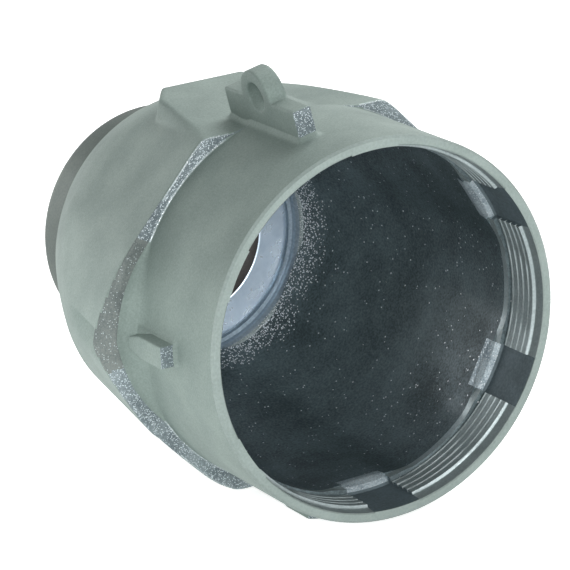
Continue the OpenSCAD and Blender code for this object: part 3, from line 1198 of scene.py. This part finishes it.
@dataclass
class Mouth:
    """The mouth's rim, thread, slots and band, machined into the barrel's front.

    Attributes:
        cavity: the cavity behind it.
        columns: steps of the turn.
        chamfer: size of the chamfer on the rim's outer edge.
        rim_inner_r: radius to which the rim's face is split from the thread's lead.
        root_r: radius of the thread's root.
        lead: size of the small chamfer at the thread's mouth.
        lead_lean: how fast the smooth lead before the thread closes in.
        thread_start_y: depth where the thread starts.
        thread_end_y: depth where it ends.
        pitch: its pitch.
        thread_depth: how far its crests stand in.
        groove: half the width of its grooves, as a share of the pitch.
        flank: width of its flanks, as a share of the pitch.
        band_r: radius of the band behind the thread.
        band_end_y: depth of the band's back.
        slot_half_deg: half a slot's width, in degrees.
        side_deg: width of a slot's steep side wall, in degrees.
        slot_floor: depth where a slot's floor ends, and the floor's radius.
        ramp_break: depth and radius where the ramp behind it changes its slope.
        ramp_end: depth and radius where the ramp ends.
        back_y: depth of the ring's back.
        outer_r: radius of the ring's hidden side.
    """

    cavity: Cavity
    columns: int = 288
    chamfer: float = 0.5
    rim_inner_r: float = 41.2
    root_r: float = 40.05
    lead: float = 0.25
    lead_lean: float = 0.1
    thread_start_y: float = 2.9
    thread_end_y: float = 11.0
    pitch: float = 2.0
    thread_depth: float = 0.6
    groove: float = 0.05
    flank: float = 0.09
    band_r: float = 38.7
    band_end_y: float = 14.0
    slot_half_deg: float = 8.1
    side_deg: float = 0.12
    slot_floor: tuple[float, float] = (12.2, 40.2)
    ramp_break: tuple[float, float] = (13.7, 38.9)
    ramp_end: tuple[float, float] = (16.8, 37.4)
    back_y: float = 17.3
    outer_r: float = 41.4

    def spread(self, clock: float) -> float:
        """Crowds even columns towards the slots' side walls, so that they stand steep.

        Args:
            clock: a column's even clock angle.

        Returns:
            Its new clock angle.
        """
        column = 360.0 / self.columns
        last_in, first_out = 6 * column, 7 * column
        centre = round(clock / 60.0) * 60.0
        off = clock - centre
        even = abs(off)
        wall_out = self.slot_half_deg + self.side_deg
        if even <= last_in:
            new = even * self.slot_half_deg / last_in
        elif even <= first_out:
            new = self.slot_half_deg + (even - last_in) / column * self.side_deg
        else:
            new = wall_out + (even - first_out) * (30.0 - wall_out) / (30.0 - first_out)
        return centre + math.copysign(new, off)

    def in_slot(self, clock: float) -> bool:
        """Whether a clock angle lies in a slot."""
        return from_sixth(clock) < self.slot_half_deg + 0.01

    def ridge(self, clock: float, y: float) -> float:
        """Works out the thread: broad crests with narrow grooves between.

        Args:
            clock: a clock angle.
            y: a depth.

        Returns:
            How far the thread stands in from its root.
        """
        ends = min(ease((y - self.thread_start_y + 0.3) / 0.5), ease((self.thread_end_y + 0.6 - y) / 0.5))
        phase = ((y - self.thread_start_y) / self.pitch - clock / 360.0) % 1.0
        crest = min(max((abs(phase - 0.5) - self.groove) / self.flank, 0.0), 1.0)
        return self.thread_depth * crest * ends

    def ramp(self, y: float) -> float:
        """Works out a slot's floor and the two ramps behind it.

        Args:
            y: a depth.

        Returns:
            The slot's radius there, and 0 behind the ramps.
        """
        if y > self.ramp_end[0]:
            return 0.0
        return between((self.slot_floor, self.ramp_break, self.ramp_end), y)

    def inside(self, clock: float, y: float) -> float:
        """Works out the mouth's inside.

        Args:
            clock: a clock angle.
            y: a depth.

        Returns:
            Its radius there.
        """
        wall = self.cavity.inside(clock, y)
        if self.in_slot(clock):
            return max(self.ramp(y), wall)
        if y < self.thread_end_y + 0.6:
            lead = max(self.lead - y, 0.0) + self.lead_lean * max(self.thread_start_y - y, 0.0)
            return self.root_r - self.ridge(clock, y) + lead
        if y < self.band_end_y:
            return max(self.band_r, wall)
        return wall

    def paint(self, r: float, clock: float, y: float, normal: Vector) -> Look:
        """Picks the finish: rim, thread and band are machined; slots, ramps and what lies behind are cast.

        Args:
            r: radius of a face's middle.
            clock: its clock angle.
            y: its depth.
            normal: the way it faces.

        Returns:
            The face's finish.
        """
        if y < 0.3 or r > 41.0:
            return Look.RIM
        if from_sixth(clock) < self.slot_half_deg + 0.1:
            if y > self.ramp_end[0]:
                return Look.CAVITY
            return Look.SLOT if y < self.slot_floor[0] + 0.4 else Look.RAMP
        if y < self.thread_end_y + 0.6:
            return Look.THREAD
        on_band = r >= self.band_r - 0.02 and y < self.band_end_y and abs(normal.y) < 0.5
        return Look.THREAD if on_band else Look.CAVITY

    def depths(self) -> list[float]:
        """Spaces the rings of the inside, fine over the thread and doubled at each break.

        Returns:
            Their depths, from the front.
        """
        tick, floor_y, break_y = 0.01, self.slot_floor[0], self.ramp_break[0]
        rings = [0.0] + steps(self.lead, self.thread_end_y + 0.7, 0.125)
        rings += [self.thread_end_y + 0.9, floor_y, floor_y + tick] + steps(floor_y + 0.5, break_y, 0.5)
        for end in (break_y, self.band_end_y):
            rings += [end - tick, end + tick]
        return rings + steps(self.band_end_y + 0.5, self.back_y, 0.4) + [self.back_y]

    def build(self) -> bpy.types.Object:
        """Makes the ring.

        Returns:
            The piece.
        """
        inner = [(SHAPED_R, y) for y in self.depths()]
        outer = [(self.outer_r, self.back_y), (self.outer_r, 9.0), (self.outer_r, LIP_Y)]
        rim = [(BARREL_R, LIP_Y), (BARREL_R, self.chamfer), (BARREL_R - self.chamfer, 0.0)]
        rim += [(self.rim_inner_r, 0.0)]
        mesh = turn(inner + outer + rim, self.columns)
        for vert in mesh.verts:
            r, clock, y = polar(vert.co)
            vert.co = from_polar(r, self.spread(clock), y)
        reshape(mesh, self.inside)
        looks = (Look.RIM, Look.THREAD, Look.SLOT, Look.RAMP, Look.CAVITY)
        return finish_piece(
            "casting_mouth", mesh, looks, "housing", paint=self.paint, sharp_deg=30
        )


@dataclass
class Throat:
    """The back of the cavity: counterbore, groove and the pressed-in throat ring.

    Attributes:
        columns: steps of the turn.
        lead_in: the ragged lead from the cavity into the counterbore, as (radius, depth) points.
        lead_end_y: depth where the painted highlight on its ragged edge ends.
        bore_r: radius of the counterbore.
        groove_r: outside radius of the groove round the ring.
        groove_depth: its depth.
        hidden_r: radius of the hidden side.
        hole_r: radius of the ring's hole.
    """

    columns: int = 192
    lead_in: Profile = ((28.9, 82.2), (28.4, 82.4), (28.1, 82.65), (27.75, 83.1), (27.2, 83.7), (27.0, 84.1))
    lead_end_y: float = 82.9
    bore_r: float = 27.0
    groove_r: float = 25.9
    groove_depth: float = 1.2
    hidden_r: float = 29.4
    hole_r: float = 17.8

    def seat(self, ring_r: float, face_y: float, back_y: float) -> bpy.types.Object:
        """Makes the counterbore and the groove.

        Args:
            ring_r: the ring's outside radius.
            face_y: depth of its face.
            back_y: depth of its back.

        Returns:
            The piece.
        """
        groove_y = face_y + self.groove_depth
        profile = [
            *self.lead_in, (self.bore_r, face_y - 0.1), (self.bore_r - 0.1, face_y),
            (self.groove_r + 0.05, face_y), (self.groove_r, face_y + 0.06), (self.groove_r, groove_y),
            (ring_r, groove_y), (ring_r, back_y - 0.1),
            (self.hidden_r, back_y - 0.1), (self.hidden_r, self.lead_in[0][1]),
        ]
        mesh = turn(profile, self.columns)

        def paint(r: float, clock: float, y: float, normal: Vector) -> Look:
            """The ragged edge where the machining breaks out of the cast wall gets a painted highlight."""
            return Look.CAST_EDGE if y < self.lead_end_y else Look.COUNTERBORE

        looks = (Look.COUNTERBORE, Look.CAST_EDGE)
        return finish_piece(
            "casting_throat", mesh, looks, "housing", paint=paint, sharp_deg=28
        )

    def ring(self, ring_r: float, face_y: float, back_y: float) -> bpy.types.Object:
        """Makes the pressed-in ring.

        Args:
            ring_r: its outside radius.
            face_y: depth of its face.
            back_y: depth of its back.

        Returns:
            The piece.
        """
        hole_r = self.hole_r
        profile = [
            (hole_r, face_y + 0.35), (hole_r + 0.08, face_y + 0.12), (hole_r + 0.3, face_y),
            (hole_r + 0.4, face_y), (ring_r - 0.8, face_y), (ring_r - 0.7, face_y),
            (ring_r - 0.15, face_y + 0.25), (ring_r - 0.02, face_y + 0.7),
            (ring_r - 0.02, back_y), (hole_r, back_y),
        ]
        mesh = turn(profile, self.columns)

        def paint(r: float, clock: float, y: float, normal: Vector) -> Look:
            """The bore is painted dark as shade; the face is clean."""
            return Look.GREASED if r < hole_r + 0.05 else Look.THROAT_RING

        looks, replaced = (Look.THROAT_RING, Look.GREASED), ("throat_ring",)
        return finish_piece(
            "turned_throat_ring", mesh, looks, "housing", replaced, paint, 40
        )

    def build(self) -> None:
        """Makes the counterbore and the ring, sized from the ring's solid."""
        low, high = (Vector(c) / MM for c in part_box("throat_ring"))
        self.seat(high.x, low.y, high.y)
        self.ring(high.x, low.y, high.y)


# ---------------------------------------------------------------- the gland


@dataclass
class Spigot:
    """The threaded spigot behind the shell, with its O-ring groove and its recess.

    Attributes:
        columns: steps of the turn.
        crest_r: radius of the thread's crests.
        root_r: radius of its roots.
        pitch: its pitch.
        flat: half the width of a crest or a root, as a share of the pitch.
        flank: width of a flank, as a share of the pitch.
        run_in: over how much of its length the thread gets its full depth.
        front_y: depth of the spigot's front, inside the shell's back.
        groove_y: depths of the O-ring groove's two walls.
        groove_r: radius of its floor.
        thread_y: depth where the thread starts.
        end_y: depth of the spigot's end.
        bore_r: radius of the bore.
        recess_r: radius of the recess for the gland's rings.
        recess_y: depth of the recess's floor.
    """

    columns: int = 256
    crest_r: float = 26.0
    root_r: float = 25.1
    pitch: float = 1.5
    flat: float = 0.08
    flank: float = 0.34
    run_in: float = 0.6
    front_y: float = 88.9
    groove_y: tuple[float, float] = (90.0, 92.4)
    groove_r: float = 24.16
    thread_y: float = 93.0
    end_y: float = 99.5
    bore_r: float = 19.375
    recess_r: float = 23.2
    recess_y: float = 92.5

    def thread(self, clock: float, y: float) -> float:
        """Works out the thread, sixty-degree ridges that fade in behind the O-ring.

        Args:
            clock: a clock angle.
            y: a depth.

        Returns:
            The thread's radius there.
        """
        phase = (y / self.pitch - clock / 360.0) % 1.0
        tooth = min(max((0.5 - abs(phase - 0.5) - self.flat) / self.flank, 0.0), 1.0)
        deep = (self.crest_r - self.root_r) * ease((y - self.thread_y) / self.run_in)
        return self.crest_r - deep * (1 - tooth)

    def build(self) -> bpy.types.Object:
        """Makes the spigot with a cut helical thread.

        Returns:
            The piece.
        """
        near, far = self.groove_y
        profile = [
            (self.crest_r, self.front_y), (self.crest_r, near), (self.groove_r, near), (self.groove_r, far),
            (self.crest_r, far), *((SHAPED_R, y) for y in steps(self.thread_y, self.end_y - 0.5, 0.15)),
            (self.crest_r - 0.2, self.end_y - 0.4), (self.crest_r - 0.8, self.end_y),
            (self.recess_r + 0.3, self.end_y), (self.recess_r, self.end_y - 0.3),
            (self.recess_r, self.recess_y), (self.bore_r, self.recess_y), (self.bore_r, self.front_y),
        ]
        mesh = turn(profile, self.columns)
        reshape(mesh, self.thread)
        looks = (Look.THREAD,)
        return finish_piece("casting_spigot", mesh, looks, "housing", sharp_deg=28)


@dataclass
class GlandRings:
    """The loose rings of the gland: rubber, washer, split ring, thrust ring and the O-ring outside.

    Attributes:
        columns: steps of the turn.
        bore_r: radius of the split ring's bore.
        loose_r: radius of the other rings' bore.
        edge: size of the steel rings' broken edges.
        gap_deg: the split ring's gap, in degrees.
        cone_start: how far behind the split ring's front its cone starts.
        cone_lean: how fast the cone closes in.
        bite: spacing, width and depth of the grooves in the split ring's bore.
        bites: how many of them there are.
        seat_r: radii of the thrust ring's cone, at its deep end and at its front.
        seat_land: how far before the thrust ring's back its cone ends.
    """

    columns: int = 192
    bore_r: float = 19.375
    loose_r: float = 19.525
    edge: float = 0.2
    gap_deg: float = 7.2
    cone_start: float = 3.4
    cone_lean: float = 0.75
    bite: tuple[float, float, float] = (1.2, 1.0, 0.35)
    bites: int = 4
    seat_r: tuple[float, float] = (21.35, 23.05)
    seat_land: float = 0.62

    def sizes(self, node: str) -> tuple[float, float, float]:
        """Outside radius, front depth and back depth of a CAD ring, in millimetres."""
        low, high = (Vector(c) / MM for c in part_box(node))
        return high.x, low.y, high.y

    def bead(self) -> bpy.types.Object:
        """Makes the O-ring in the spigot's groove.

        Returns:
            The piece.
        """
        outer, front, back = self.sizes("spigot_o_ring")
        section, count = (back - front) / 2, 24
        centre_r, centre_y = outer - section, (front + back) / 2
        angles = [TURN * i / count for i in range(count)]
        profile = [(centre_r + section * math.cos(a), centre_y + section * math.sin(a)) for a in angles]
        mesh, replaced = turn(profile, self.columns), ("spigot_o_ring",)
        return finish_piece("nitrile_o_ring", mesh, (Look.RUBBER,), "housing", replaced)

    def hoop(self, node: str, name: str, look: Look, lip: float) -> bpy.types.Object:
        """Makes a plain loose ring with broken edges.

        Args:
            node: the CAD ring that it replaces.
            name: the piece's name.
            look: its finish.
            lip: size of its edges' chamfer.

        Returns:
            The piece.
        """
        outer, front, back = self.sizes(node)
        bore = self.loose_r
        profile = [
            (bore, front + lip), (bore + lip, front), (outer - lip, front), (outer, front + lip),
            (outer, back - lip), (outer - lip, back), (bore + lip, back), (bore, back - lip),
        ]
        return finish_piece(name, turn(profile, self.columns), (look,), "housing", (node,))

    def split_ring(self) -> bpy.types.Object:
        """Makes the compression ring: grooved bite inside, cone behind, one gap.

        Returns:
            The piece.
        """
        outer, front, back = self.sizes("compression_ring")
        bore, edge, cone_y = self.bore_r, self.edge, front + self.cone_start
        spacing, width, deep = self.bite
        profile = [(bore, front + edge), (bore + edge, front), (outer - edge, front), (outer, front + edge)]
        profile += [(outer, cone_y), (outer - self.cone_lean * (back - cone_y), back), (bore + edge, back)]
        for i in range(self.bites):
            y = back - 0.5 - spacing * i
            profile += [(bore, y), (bore + deep, y - width / 2), (bore, y - width)]
        mesh = bmesh.new()
        points = [mesh.verts.new((0.0, y, r)) for r, y in profile]
        edges = ring_of_edges(mesh, points)
        start = Matrix.Rotation(math.radians(self.gap_deg / 2), 3, "Y")
        bmesh.ops.rotate(mesh, cent=(0, 0, 0), matrix=start, verts=mesh.verts)
        sweep = math.radians(360 - self.gap_deg)
        swept = bmesh.ops.spin(
            mesh, geom=points + edges, cent=(0, 0, 0), axis=(0, 1, 0), angle=sweep, steps=self.columns
        )
        last = [item for item in swept["geom_last"] if isinstance(item, bmesh.types.BMEdge)]
        for end in (edges, last):
            bmesh.ops.contextual_create(mesh, geom=end)
        replaced = ("compression_ring",)
        return finish_piece("split_compression_ring", mesh, (Look.ZINC,), "housing", replaced)

    def thrust(self) -> bpy.types.Object:
        """Makes the thrust ring, whose cone closes the split ring.

        Returns:
            The piece.
        """
        outer, front, back = self.sizes("thrust_ring")
        bore, edge, land_y = self.loose_r, self.edge, back - self.seat_land
        deep_r, mouth_r = self.seat_r
        profile = [
            (outer, front + edge), (outer, back - edge), (outer - edge, back), (bore + edge, back),
            (bore, back - edge), (bore, land_y), (deep_r, land_y), (mouth_r, front), (outer - edge, front),
        ]
        mesh, replaced = turn(profile, self.columns), ("thrust_ring",)
        return finish_piece("gland_thrust_ring", mesh, (Look.ZINC,), "thrust", replaced)

    def build(self) -> None:
        """Makes all the rings."""
        self.bead()
        self.hoop("sealing_ring", "rubber_sealing_ring", Look.RUBBER, 0.25)
        self.hoop("gland_washer", "plated_gland_washer", Look.ZINC, 0.1)
        self.split_ring()
        self.thrust()


@dataclass
class GlandNut:
    """The gland nut: a round collar and a six-sided drive behind it.

    Attributes:
        columns: steps of the turn.
        bore_r: radius of the bore.
        thread_r: radius of the thread's root.
        relief_r: radius of the relief over the O-ring.
        relief_y: depth of the relief's back.
        seat_y: depth of the seat that pushes the thrust ring.
        collar_mid_y: depth of a ring that keeps the collar's shading even.
        collar_end_y: depth of the collar's back.
        collar_round: rounding of the collar's back edge.
        flats: size of the drive across its flats.
        flat_clock: clock angle of one flat's middle.
        crown_in: how far inside the flats the crown's chamfer meets the nut's back.
        crown_lean: how fast the chamfer opens.
        crown_blend: rounding between flats and chamfer.
    """

    columns: int = 360
    bore_r: float = 19.375
    thread_r: float = 26.08
    relief_r: float = 26.41
    relief_y: float = 93.15
    seat_y: float = 103.0
    collar_mid_y: float = 96.0
    collar_end_y: float = 105.2
    collar_round: float = 1.6
    flats: float = 42.4
    flat_clock: float = 30.0
    crown_in: float = 0.2
    crown_lean: float = 1.45
    crown_blend: float = 0.25

    def profile(self, collar_r: float, front: float, back: float) -> Profile:
        """Draws the nut's section.

        Args:
            collar_r: the collar's radius.
            front: depth of the nut's front.
            back: depth of its back.

        Returns:
            The section's points, the drive's at SHAPED_R.
        """
        end_y, turned = self.collar_end_y, self.collar_round
        points = [
            (self.relief_r + 0.3, front), (collar_r - 0.5, front), (collar_r - 0.12, front + 0.15),
            (collar_r, front + 0.55), (collar_r, self.collar_mid_y), (collar_r, end_y - 2.0),
        ]
        for degrees in (15, 35, 55, 75, 90):
            a = math.radians(degrees)
            points.append((collar_r - turned + turned * math.cos(a), end_y - turned + turned * math.sin(a)))
        depths = [end_y + 0.01] + [end_y + 0.35 * i for i in range(1, 11)] + [back - 0.25, back]
        points += [(SHAPED_R, y) for y in depths]
        return points + [
            (self.bore_r + 0.8, back), (self.bore_r + 0.2, back - 0.3), (self.bore_r, back - 0.8),
            (self.bore_r, self.seat_y), (self.thread_r, self.seat_y), (self.thread_r, self.relief_y + 0.3),
            (self.relief_r, self.relief_y), (self.relief_r, front + 0.3),
        ]

    def paint(self, r: float, clock: float, y: float, normal: Vector) -> Look:
        """The bore and the thread side are bright."""
        inside = r < self.bore_r + 0.6 or (r < self.relief_r + 0.1 and y < self.seat_y + 0.1)
        return Look.THREAD if inside else Look.NUT

    def build(self) -> bpy.types.Object:
        """Makes the nut, sized from its solid.

        Returns:
            The piece.
        """
        low, high = (Vector(c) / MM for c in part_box("gland_nut"))
        mesh = turn(self.profile(high.x, low.y, high.y), self.columns)

        def drive(clock: float, y: float) -> float:
            """Works out the drive: six flats under a crown.

            Args:
                clock: a clock angle.
                y: a depth.

            Returns:
                The drive's radius there.
            """
            flat = self.flats / 2 / math.cos(math.radians(from_sixth(clock - self.flat_clock)))
            crown = self.flats / 2 - self.crown_in + (high.y - y) * self.crown_lean
            return soft_min(flat, crown, self.crown_blend)

        reshape(mesh, drive)
        looks, replaced = (Look.NUT, Look.THREAD), ("gland_nut",)
        return finish_piece("turned_gland_nut", mesh, looks, "nut", replaced, self.paint, 25)


# ---------------------------------------------------------------- the studio


@dataclass(frozen=True)
class Lamp:
    """A square soft lamp.

    Attributes:
        name: the lamp's name.
        place: where it stands, in metres.
        size: its side, in metres.
        watts: its power.
        aim: the point that it looks at, which is the fitting's middle unless given.
    """

    name: str
    place: tuple[float, float, float]
    size: float
    watts: float
    aim: tuple[float, float, float] = (0.0, 0.045, 0.0)

    def build(self) -> None:
        """Stands the lamp in the scene."""
        data = bpy.data.lights.new(self.name, "AREA")
        data.size = self.size
        data.energy = self.watts
        lamp = bpy.data.objects.new(self.name, data)
        lamp.location = self.place
        lamp.rotation_euler = (Vector(self.aim) - Vector(self.place)).to_track_quat("-Z", "Y").to_euler()
        bpy.context.scene.collection.objects.link(lamp)


@dataclass
class Studio:
    """A pale floor, soft lamps and the camera.

    Attributes:
        azimuth: the camera's direction from the fitting, from straight before the mouth, in degrees.
        elevation: how high it stands over the fitting, in degrees.
        roll: how much it is tilted, in degrees.
        distance_mm: its distance.
        right_mm: how far it stands to the right of the line to the frame's origin.
        up_mm: how far above that line.
        view_mm: width of what it sees at that distance.
        sensor_mm: width of its sensor.
        sky: strength of the sky's light.
        floor_m: half the floor's side, in metres.
        floor_glow: how much of its own white the floor shows.
        lamps: the lamps.
    """

    azimuth: float = -29.22
    elevation: float = 18.15
    roll: float = -4.13
    distance_mm: float = 725.6
    right_mm: float = -21.59
    up_mm: float = 9.86
    view_mm: float = 120.88
    sensor_mm: float = 36.0
    sky: float = 0.28
    floor_m: float = 12.0
    floor_glow: float = 0.72
    lamps: tuple[Lamp, ...] = (
        Lamp("top_right", (0.62, 0.35, 0.75), 0.6, 7.0),
        Lamp("front_right", (0.12, -0.9, 0.1), 0.3, 2.8),
        Lamp("front_left", (-0.4, -0.75, 0.25), 0.16, 2.6),
        Lamp("back_left", (-0.3, 0.95, 0.1), 0.4, 1.8),
        Lamp("bounce_left", (-0.13, 0.03, 0.0), 0.12, 0.06, (-0.11, 0.03, -0.05)),
    )

    def camera(self) -> None:
        """Sets the camera with a long lens, left of the mouth and a little above it."""
        a, e, roll = (math.radians(v) for v in (self.azimuth, self.elevation, self.roll))
        toward = Vector((math.sin(a) * math.cos(e), -math.cos(a) * math.cos(e), math.sin(e)))
        level = Vector((math.cos(a), math.sin(a), 0.0))
        upright = toward.cross(level)
        right = level * math.cos(roll) + upright * math.sin(roll)
        up = upright * math.cos(roll) - level * math.sin(roll)
        place = (right * self.right_mm + up * self.up_mm + toward * self.distance_mm) * MM
        data = bpy.data.cameras.new("camera")
        data.sensor_width = self.sensor_mm
        data.lens = self.sensor_mm * self.distance_mm / self.view_mm
        data.clip_end = 50.0
        camera = bpy.data.objects.new("camera", data)
        camera.matrix_world = Matrix.Translation(place) @ Matrix((right, up, toward)).transposed().to_4x4()
        bpy.context.scene.collection.objects.link(camera)
        bpy.context.scene.camera = camera

    def background(self, tree: Tree) -> Socket:
        """Tells a ray that looks at the background from one that carries light.

        Args:
            tree: the node tree that asks.

        Returns:
            1 for a ray from the camera, a gloss or a clear body, else 0.
        """
        path = add_node(tree, "LightPath").outputs
        seen = {0: path["Is Camera Ray"], 1: path["Is Glossy Ray"]}
        either = add_node(tree, "Math", seen, operation="MAXIMUM")
        clear = {0: either.outputs[0], 1: path["Is Transmission Ray"]}
        return add_node(tree, "Math", clear, operation="MAXIMUM").outputs[0]

    def world(self) -> None:
        """Sets a soft even sky that shows as white."""
        world = bpy.data.worlds.new("studio")
        world.use_nodes = True
        bpy.context.scene.world = world
        tree = world.node_tree
        sky = tree.nodes["Background"]
        sky.inputs["Color"].default_value = linear("#ffffff")
        shown = {"Value": self.background(tree), "To Min": self.sky, "To Max": 1.0}
        strength = add_node(tree, "MapRange", shown)
        tree.links.new(strength.outputs[0], sky.inputs["Strength"])

    def floor(self, height: float) -> None:
        """Lays a pale floor under the fitting.

        Args:
            height: the floor's height, in metres.
        """
        mesh = bmesh.new()
        bmesh.ops.create_grid(mesh, x_segments=4, y_segments=4, size=self.floor_m)
        data = bpy.data.meshes.new("floor")
        mesh.to_mesh(data)
        mesh.free()
        floor = bpy.data.objects.new("floor", data)
        floor.location = (0.0, 0.0, height)
        bpy.context.scene.collection.objects.link(floor)
        # Matt near-white paper, lit a little from within, so that it runs into the white sky behind it.
        material = bpy.data.materials.new("pale_studio_floor")
        material.use_nodes = True
        tree = material.node_tree
        shader = tree.nodes["Principled BSDF"]
        shader.inputs["Base Color"].default_value = linear("#f4f5f5")
        shader.inputs["Roughness"].default_value = 0.9
        shader.inputs["Emission Color"].default_value = linear("#ffffff")
        glow = add_node(tree, "Math", {0: self.background(tree), 1: self.floor_glow}, operation="MULTIPLY")
        tree.links.new(glow.outputs[0], shader.inputs["Emission Strength"])
        data.materials.append(material)
        floor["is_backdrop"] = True

    def build(self, height: float) -> None:
        """Sets up everything round the fitting.

        Args:
            height: the floor's height, in metres.
        """
        self.camera()
        self.world()
        self.floor(height)
        for lamp in self.lamps:
            lamp.build()
        bpy.context.scene.view_settings.view_transform = "Standard"


def main() -> None:
    """Dresses the frame."""
    logging.basicConfig(level=logging.INFO, format="%(name)s: %(message)s")
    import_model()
    hang_lug = HangLug()
    index_lugs = (IndexLug(-89.2, name="index_lug_side"), IndexLug(-166.0, name="index_lug_low"))
    cavity = Cavity()
    CastShell(hang_lug, index_lugs).build()
    hang_lug.build()
    for lug in index_lugs:
        lug.build()
    cavity.build()
    Mouth(cavity).build()
    Throat().build()
    Spigot().build()
    GlandRings().build()
    GlandNut().build()
    dressed_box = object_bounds()
    Studio().build(dressed_box[0][2])


if __name__ == "__main__":
    main()
